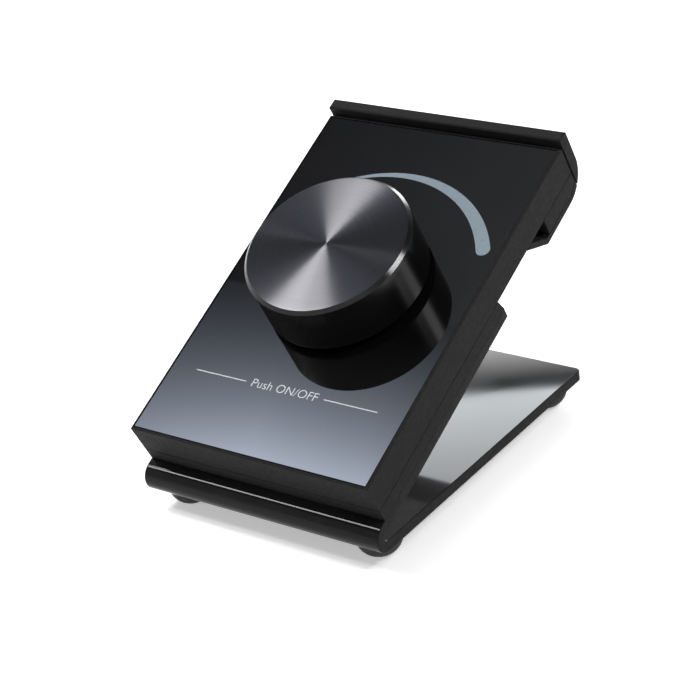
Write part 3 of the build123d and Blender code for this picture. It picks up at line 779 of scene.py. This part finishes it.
class DIMMER_OT_legend(Operator):
    """Print the words and the two lines under the knob"""
    bl_idname = "dimmer.legend"
    bl_label = "Legend"

    def words(self):
        """The words as worked faces, their middle at the origin and as wide as asked."""
        letters = bpy.data.curves.new("legend", "FONT")
        letters.body = sizes().legend
        letters.align_x = "CENTER"
        letters.align_y = "CENTER"
        letters.extrude = HALF
        letters.offset = LETTER_DRAW_IN
        letters.resolution_u = LETTER_STEPS
        holder = placed("legend_letters", letters)
        view = bpy.context.evaluated_depsgraph_get()
        mesh = bpy.data.meshes.new_from_object(holder.evaluated_get(view))
        bpy.data.objects.remove(holder)
        shape = bmesh.new()
        shape.from_mesh(mesh)
        bpy.data.meshes.remove(mesh)
        across = [vertex.co.x for vertex in shape.verts]
        factor = sizes().legend_width / (max(across) - min(across))
        middle = (max(across) + min(across)) / 2
        up = sizes().print_height
        bmesh.ops.translate(shape, verts=shape.verts, vec=(-middle, 0, HALF))
        bmesh.ops.scale(shape, verts=shape.verts, vec=(factor, factor, up))
        return shape

    def execute(self, context):
        size = sizes()
        shape = self.words()
        half = size.line_weight / 2
        for side in (-1, 1):
            ends = sorted((side * (size.legend_width / 2 + size.line_gap), side * size.line_reach))
            block(shape, (ends[0], -half, 0), (ends[1], half, size.print_height))
        place = FACE @ Matrix.Translation((0, -size.legend_below, 0))
        legend = piece("legend", mesh_of("legend", shape, place), [legend_ink()], "base")
        return {"FINISHED"}


class DIMMER_OT_stand(Operator):
    """Bend the stand from one sheet, with rounded rear corners and eased edges"""
    bl_idname = "dimmer.stand"
    bl_label = "Stand"
    SHEET, EDGE, BEND, TOP = range(4)

    def outline(self):
        """The sheet from the side: round the bend's outside, up the upright, down it and along the base."""
        size = sizes()
        low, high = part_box("stand")
        outer = size.bend + size.sheet
        middle = (low.y + outer, low.z + outer)
        lean = QUARTER_TURN + TILT
        round_outside = arc(middle, outer, 3 * QUARTER_TURN, lean, OUTER_BEND_STEPS)
        round_inside = arc(middle, size.bend, lean, 3 * QUARTER_TURN, BEND_STEPS)
        start = Vector(round_outside[-1])
        rise = Vector((UP_FACE.y, UP_FACE.z)) * (high.z - start.y) / UP_FACE.z
        outer_top = start + rise
        inner_top = Vector(round_inside[0]) + rise
        self.bend_middle, self.bend_radius = Vector(middle), outer
        self.top_corner = (outer_top + inner_top) / 2
        self.rear_corner = Vector((high.y, low.z + size.sheet / 2))
        return [*round_outside, tuple(outer_top), tuple(inner_top), *round_inside,
                (high.y, low.z + size.sheet), (high.y, low.z)]

    def is_corner(self, edge):
        """Whether an edge is one of the two that stand through the sheet's thickness at its rear end."""
        first, second = edge.verts
        middle = (first.co + second.co) / 2
        through = abs(first.co.x - second.co.x) < MM
        return through and (middle.yz - self.rear_corner).length < HAIR

    def is_cut(self, face):
        """Whether a face is part of the sheet's cut edge: its sides, its rear end or its top end."""
        way, spot = face.normal, face.center
        at_rear = way.y > FACING and spot.y > self.rear_corner.x - CUT_REAR
        at_top = way.dot(UP_FACE) > FACING and spot.z > self.top_corner.y - CUT_TOP
        return abs(way.x) > FACING or at_rear or at_top

    def is_bent(self, face):
        """Whether a face is on the outside of the bend."""
        return abs((face.center.yz - self.bend_middle).length - self.bend_radius) < HAIR

    def finish_index(self, face):
        """Which of the stand's finishes a face has; the upper side of the base is painted paler, as painted
        light.
        """
        if self.is_cut(face):
            return self.EDGE
        if self.is_bent(face):
            return self.BEND
        return self.TOP if face.normal.z > FLAT else self.SHEET

    def rounded(self, shape, edges, radius, steps):
        """Rounds some edges of worked faces."""
        bmesh.ops.bevel(shape, geom=edges, offset=radius, segments=steps, profile=ROUND_PROFILE,
                        affect="EDGES", clamp_overlap=True)

    def bore(self):
        """The room of the screws that hold the upright, for cutting out of the sheet."""
        size = sizes()
        head, length, places = pair("stand_screws")
        shank = head / size.head_ratio
        room = size.screw_room
        outline = [(0, size.sheet), (head + room, size.sheet), (head + room, 0), (shank + room, shank - head),
                   (shank + room, -length), (0, -length)]
        cutter = mesh_of("screw_room", turned(outline, TURN))
        rooms = repeated("screw_rooms", cutter, places, SCREWS["stand_screws"], finish_of("stand_gloss"))
        return placed("screw_rooms", rooms)

    def execute(self, context):
        size = sizes()
        shape = drawn_across(self.outline(), width("stand") / 2)
        corners = [edge for edge in shape.edges if self.is_corner(edge)]
        if len(corners) != 2:
            raise RuntimeError(f"the stand has {len(corners)} rear corners, not 2")
        self.rounded(shape, corners, size.stand_corner, CORNER_STEPS)
        sharp = [edge for edge in shape.edges if edge.calc_face_angle(0) > EASED_FROM]
        self.rounded(shape, sharp, size.ease, FINE_STEPS)
        bore = self.bore()
        mesh = mesh_of("bent_stand", shape, bore=bore)
        bpy.data.objects.remove(bore)
        for face in mesh.polygons:
            face.material_index = self.finish_index(face)
        # The last finish paints the upper side of the base paler, as painted light
        finishes = [finish_of("stand_gloss"), sawn("stand_edge"), stand_gloss("stand_bend", BEND_INDEX),
                    stand_gloss("stand_top", painted_lift=TOP_PAINTED_LIFT)]
        stand = piece("bent_stand", mesh, finishes, "base")
        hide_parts("stand")
        return {"FINISHED"}


class DIMMER_OT_feet(Operator):
    """Set a domed rubber foot under each corner of the base"""
    bl_idname = "dimmer.feet"
    bl_label = "Feet"

    def execute(self, context):
        nodes = ("foot_front_left", "foot_front_right", "foot_rear_left", "foot_rear_right")
        boxes = [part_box(node) for node in nodes]
        radius = width(nodes[0]) / 2
        height = boxes[0][1].z - boxes[0][0].z
        draw_in = radius - sizes().foot_flat / 2
        dome = (draw_in + height ** 2 / draw_in) / 2
        last = -acos(1 - draw_in / dome)
        outline = [(0, height), *arc((radius - dome, height), dome, 0, last, LARGE_STEPS), (0, 0)]
        places = [((low.x + high.x) / 2, (low.y + high.y) / 2, low.z) for low, high in boxes]
        foot = mesh_of("foot", turned(outline, TURN))
        mesh = repeated("rubber_feet", foot, places, UP, finish_of("foot_rubber"))
        feet = piece("rubber_feet", mesh, [finish_of("foot_rubber")], "base")
        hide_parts(*nodes)
        return {"FINISHED"}


class DIMMER_OT_screws(Operator):
    """Turn the countersunk screws, with a hexagon socket and the rings of a thread, and set them in pairs"""
    bl_idname = "dimmer.screws"
    bl_label = "Screws"

    def screw(self, head, length):
        """Worked faces of a screw, its head flush with Z = 0 and its tip at -length."""
        size = sizes()
        shank = head / size.head_ratio
        socket = shank * size.socket_ratio
        pitch = 2 * shank * size.pitch_ratio
        root = shank - pitch / 2
        mouth = socket * SOCKET_MOUTH
        ease = head * HEAD_EASE
        outline = [(0, -shank - mouth), (socket, -shank), (socket, -mouth), (socket + mouth, 0),
                   (head - ease, 0), (head - ease / 2, -ease / 2), (shank, shank - head)]
        for turn in range(1, int((length - head) / pitch)):
            height = shank - head - turn * pitch
            outline += [(root, height + pitch / 2), (shank, height)]
        outline += [(root, -length + pitch / 2), (root - pitch / 2, -length), (0, -length)]
        shape = turned(outline, SCREW_TURN)
        for corner in shape.verts:
            if abs(corner.co.xy.length - socket) < mouth / 4:
                turn = atan2(corner.co.y, corner.co.x) % HEX_TURN
                corner.co.xy *= cos(HEX_TURN / 2) / cos(turn - HEX_TURN / 2)
        return shape

    def execute(self, context):
        for node, facing in SCREWS.items():
            head, length, places = pair(node)
            one = mesh_of("screw", self.screw(head, length))
            name = "turned_" + node
            mesh = repeated(name, one, places, facing, finish_of("screw_black"))
            screws = piece(name, mesh, [finish_of("screw_black")], "base")
            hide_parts(node)
        return {"FINISHED"}


class DIMMER_OT_cells(Operator):
    """Turn the two cells: a can with a nub, in a sleeve rolled over its rims"""
    bl_idname = "dimmer.cells"
    bl_label = "Cells"
    FILM, STEEL = range(2)

    def outline(self, radius, length):
        """A cell standing on its flat end, and the finish of each stretch."""
        size = sizes()
        film = size.sleeve
        rim = radius * CELL_RIM
        soft = radius * CELL_SOFT
        nub = size.nub_diameter / 2
        shoulder = length - size.nub_height
        flat_end = [(0, 0), (rim, 0), (rim, film)]
        foot = arc((radius - soft, film + soft), soft, -QUARTER_TURN, 0, SOFT_STEPS)
        brow = arc((radius - soft, shoulder - soft), soft, 0, QUARTER_TURN, SOFT_STEPS)
        lip = [(rim, shoulder), (rim, shoulder - film)]
        tip = [(nub, shoulder - film), (nub, length - film), (nub - film, length), (0, length)]
        end_kinds = [self.STEEL] * (len(flat_end) - 1)
        side_kinds = [self.FILM] * (len(foot) + len(brow) + len(lip) - 1)
        tip_kinds = [self.STEEL] * (len(tip) + 1)
        return flat_end + foot + brow + lip + tip, end_kinds + side_kinds + tip_kinds

    def execute(self, context):
        for node, facing in CELLS.items():
            low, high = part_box(node)
            middle = (low + high) / 2
            start = middle - facing * width(node) / 2
            place = Matrix.Translation(start) @ facing.to_track_quat("Z", "Y").to_matrix().to_4x4()
            outline, kinds = self.outline((high.z - low.z) / 2, width(node))
            name = "sleeved_" + node
            mesh = mesh_of(name, turned(outline, WIDE_TURN, kinds), place)
            cell = piece(name, mesh, [finish_of("cell_sleeve"), finish_of("contact_steel")], "base")
            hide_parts(node)
        return {"FINISHED"}


class DIMMER_OT_dome(Operator):
    """Turn the rubber dome under the shaft"""
    bl_idname = "dimmer.dome"
    bl_label = "Switch dome"

    def execute(self, context):
        size = sizes()
        low, high = reach("switch_dome", OUT_OF_FACE)
        foot = width("switch_dome") / 2
        crown = size.dome_crown / 2
        skin = size.dome_skin
        soft = skin / 2
        lean = atan2(foot - crown, high - low)
        shoulder = arc((crown - soft, high - soft), soft, lean, QUARTER_TURN, SOFT_STEPS)
        outline = [(0, high - skin), (crown - skin, high - skin), (foot - skin, low), (foot, low),
                   *shoulder, (0, high)]
        dome = piece("rubber_dome", mesh_of("rubber_dome", turned(outline, TURN), FACE),
                     [finish_of("dome_rubber")], "base")
        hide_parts("switch_dome")
        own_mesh(dome)
        return {"FINISHED"}


def fade(axis, full, none, power=1.0):
    """How a light fades along an axis: where it is full, where it is gone, and the power of its curve."""
    return axis, full, none, power


class DIMMER_OT_stage(Operator):
    """Set up the pale floor and wall, the soft lights and the camera"""
    bl_idname = "dimmer.stage"
    bl_label = "Stage"

    def seen(self, material):
        """Whether a ray comes from the camera, a gloss or a glass, as a number."""
        path = material.node_tree.nodes.new("ShaderNodeLightPath")
        total = path.outputs["Is Camera Ray"]
        for name in ("Is Glossy Ray", "Is Transmission Ray"):
            total = combined(material, "MAXIMUM", total, path.outputs[name])
        return total

    def pale_paper(self, stage):
        """White paper that shows a little brighter than the light on it."""
        material = surface("pale_paper", stage.pale, roughness=0.9, Specular_IOR_Level=0.0,
                           Emission_Color=(*WHITE, 1))
        feed(material, combined(material, "MULTIPLY", self.seen(material), stage.lift), "Emission Strength")
        return material

    def floor(self, stage):
        """A round floor that curves up into a wall."""
        cove = stage.wall * COVE
        curve = arc((stage.room - cove, cove), cove, -QUARTER_TURN, 0, LARGE_STEPS)
        mesh = mesh_of("floor", turned([(0, 0), *curve, (stage.room, stage.wall)], WIDE_TURN))
        mesh.materials.append(self.pale_paper(stage))
        floor = placed("floor", mesh)

    def glow(self, name, colour, strength, fades):
        """Light cloth that fades along axes."""
        material = bpy.data.materials.new(name)
        material.use_nodes = True
        nodes, links = material.node_tree.nodes, material.node_tree.links
        nodes.clear()
        light = nodes.new("ShaderNodeEmission")
        light.inputs["Color"].default_value = (*colour, 1)
        light.inputs["Strength"].default_value = strength
        output = nodes.new("ShaderNodeOutputMaterial")
        links.new(light.outputs["Emission"], output.inputs["Surface"])
        parts = nodes.new("ShaderNodeSeparateXYZ")
        links.new(nodes.new("ShaderNodeTexCoord").outputs["Object"], parts.inputs["Vector"])
        for axis, full, none, power in fades:
            share = mapped(material, parts.outputs[axis], start=none, end=full)
            strength = combined(material, "MULTIPLY", combined(material, "POWER", share, power), strength)
            links.new(strength, light.inputs["Strength"])
        return material

    def card(self, name, middle, across, along, strength, colour=WHITE, aim=None, flare=1.0, fades=()):
        """A flat soft light that looks at a point, or straight down if none is given.

        The camera itself doesn't see it. flare widens its nearer end."""
        middle = Vector(middle)
        facing = DOWN if aim is None else aim - middle
        shape = bmesh.new()
        bmesh.ops.create_grid(shape, x_segments=1, y_segments=1, size=HALF)
        for corner in shape.verts:
            corner.co.x *= across * (flare if corner.co.y < 0 else 1)
            corner.co.y *= along
        look = facing.to_track_quat("Z", "Y").to_matrix().to_4x4()
        shape.transform(Matrix.Translation(middle) @ look)
        mesh = bpy.data.meshes.new(name)
        shape.to_mesh(mesh)
        shape.free()
        mesh.materials.append(self.glow(name, colour, strength, fades))
        card = placed(name, mesh)
        card.visible_camera = False

    def overhead_lights(self):
        """The main light over the left front, with what the face and the stand's bend mirror round it."""
        self.card("main_light", middle=(-0.395, -0.13, OVERHEAD), across=0.11, along=0.158, flare=3.1,
                  strength=33.0, colour=(1.0, 0.98, 0.96))
        self.card("face_light", middle=(-0.42, 0.0075, OVERHEAD), across=0.40, along=0.105,
                  strength=10.4, colour=(0.74, 0.83, 1.0),
                  fades=[fade("Y", full=-0.04, none=0.20, power=5.5), fade("X", full=-0.44, none=-0.64),
                         fade("X", full=-0.36, none=-0.12)])
        self.card("top_light", middle=(-0.36, 0.18, OVERHEAD), across=0.42, along=0.24,
                  strength=0.55, colour=(0.9, 0.93, 1.0),
                  fades=[fade("Y", full=0.06, none=0.42), fade("X", full=-0.30, none=-0.56)])
        self.card("bend_light", middle=(-0.479, -0.315, OVERHEAD), across=0.23, along=0.11, strength=36.0)

    def side_lights(self):
        """Two on the right for the knob's edge and side, three behind for the base and the far edge."""
        self.card("side_light", middle=(0.37, 0.045, 0.59), aim=KNOB_CENTRE, across=0.11, along=0.13,
                  strength=17.0)
        self.card("edge_light", middle=(0.47, 0.04, 0.49), aim=KNOB_CENTRE, across=0.25, along=0.07,
                  strength=28.0)
        self.card("base_light", middle=(-0.364, 0.571, 0.4764), aim=GROUND, across=0.40, along=0.19,
                  strength=8.9, colour=(0.93, 0.98, 1.0),
                  fades=[fade("Z", full=0.402, none=0.399), fade("Z", full=0.402, none=0.60, power=2.0)])
        self.card("low_light", middle=(-0.409, 0.6413, 0.3518), aim=GROUND, across=0.40, along=0.11,
                  strength=7.5, fades=[fade("Z", full=0.369, none=0.397)])
        self.card("rim_light", middle=(-0.15, 0.70, 0.30), aim=GROUND, across=0.26, along=0.18, strength=11.0)

    def camera(self, stage):
        """The camera at the place of the photograph."""
        turn, rise, roll = stage.camera_turn, stage.camera_rise, stage.camera_roll
        back = Vector((sin(turn) * cos(rise), -cos(turn) * cos(rise), sin(rise)))
        right = UP.cross(back).normalized()
        look = Matrix((right, back.cross(right), back)).transposed().to_4x4()
        lens = bpy.data.cameras.new("camera")
        lens.lens = stage.lens
        lens.sensor_width = SENSOR
        lens.clip_start = NEAREST
        lens.clip_end = FARTHEST
        camera = placed("camera", lens)
        camera.matrix_world = Matrix.Translation(stage.camera_place) @ look @ Matrix.Rotation(roll, 4, "Z")
        bpy.context.scene.camera = camera

    def execute(self, context):
        stage = context.scene.dimmer_stage
        context.scene.view_settings.view_transform = "Standard"
        world = bpy.data.worlds.new("studio")
        world.use_nodes = True
        background = world.node_tree.nodes["Background"]
        background.inputs["Color"].default_value = (*WHITE, 1)
        background.inputs["Strength"].default_value = stage.fill
        context.scene.world = world
        self.floor(stage)
        self.overhead_lights()
        self.side_lights()
        self.camera(stage)
        return {"FINISHED"}


class DIMMER_PT_pieces(Panel):
    """The dimmer's pieces in the sidebar"""
    bl_idname = "DIMMER_PT_pieces"
    bl_label = "LED dimmer"
    bl_space_type = "VIEW_3D"
    bl_region_type = "UI"
    bl_category = "Dimmer"

    def draw(self, context):
        for operator in OPERATORS:
            self.layout.operator(operator.bl_idname)
        for name, group in GROUPS.items():
            box = self.layout.box()
            for setting in group.__annotations__:
                box.prop(getattr(context.scene, name), setting)


OPERATORS = (DIMMER_OT_stage, DIMMER_OT_solids, DIMMER_OT_face, DIMMER_OT_knob, DIMMER_OT_legend,
             DIMMER_OT_stand, DIMMER_OT_feet, DIMMER_OT_screws, DIMMER_OT_cells, DIMMER_OT_dome)
GROUPS = {"dimmer_sizes": DimmerSizes, "dimmer_colours": DimmerColours, "dimmer_stage": DimmerStage}


def register():
    """Make the groups, operators and panel known."""
    for kind in (*GROUPS.values(), *OPERATORS, DIMMER_PT_pieces):
        bpy.utils.register_class(kind)
    for name, group in GROUPS.items():
        setattr(bpy.types.Scene, name, PointerProperty(type=group))


def unregister():
    """Forget them again."""
    for name in GROUPS:
        delattr(bpy.types.Scene, name)
    for kind in reversed((*GROUPS.values(), *OPERATORS, DIMMER_PT_pieces)):
        bpy.utils.unregister_class(kind)


def main():
    """Build the whole scene."""
    register()
    bpy.ops.dimmer.stage()
    bpy.ops.dimmer.solids()
    bpy.ops.dimmer.face()
    bpy.ops.dimmer.knob()
    bpy.ops.dimmer.legend()
    bpy.ops.dimmer.stand()
    bpy.ops.dimmer.feet()
    bpy.ops.dimmer.screws()
    bpy.ops.dimmer.cells()
    bpy.ops.dimmer.dome()


if __name__ == "__main__":
    main()
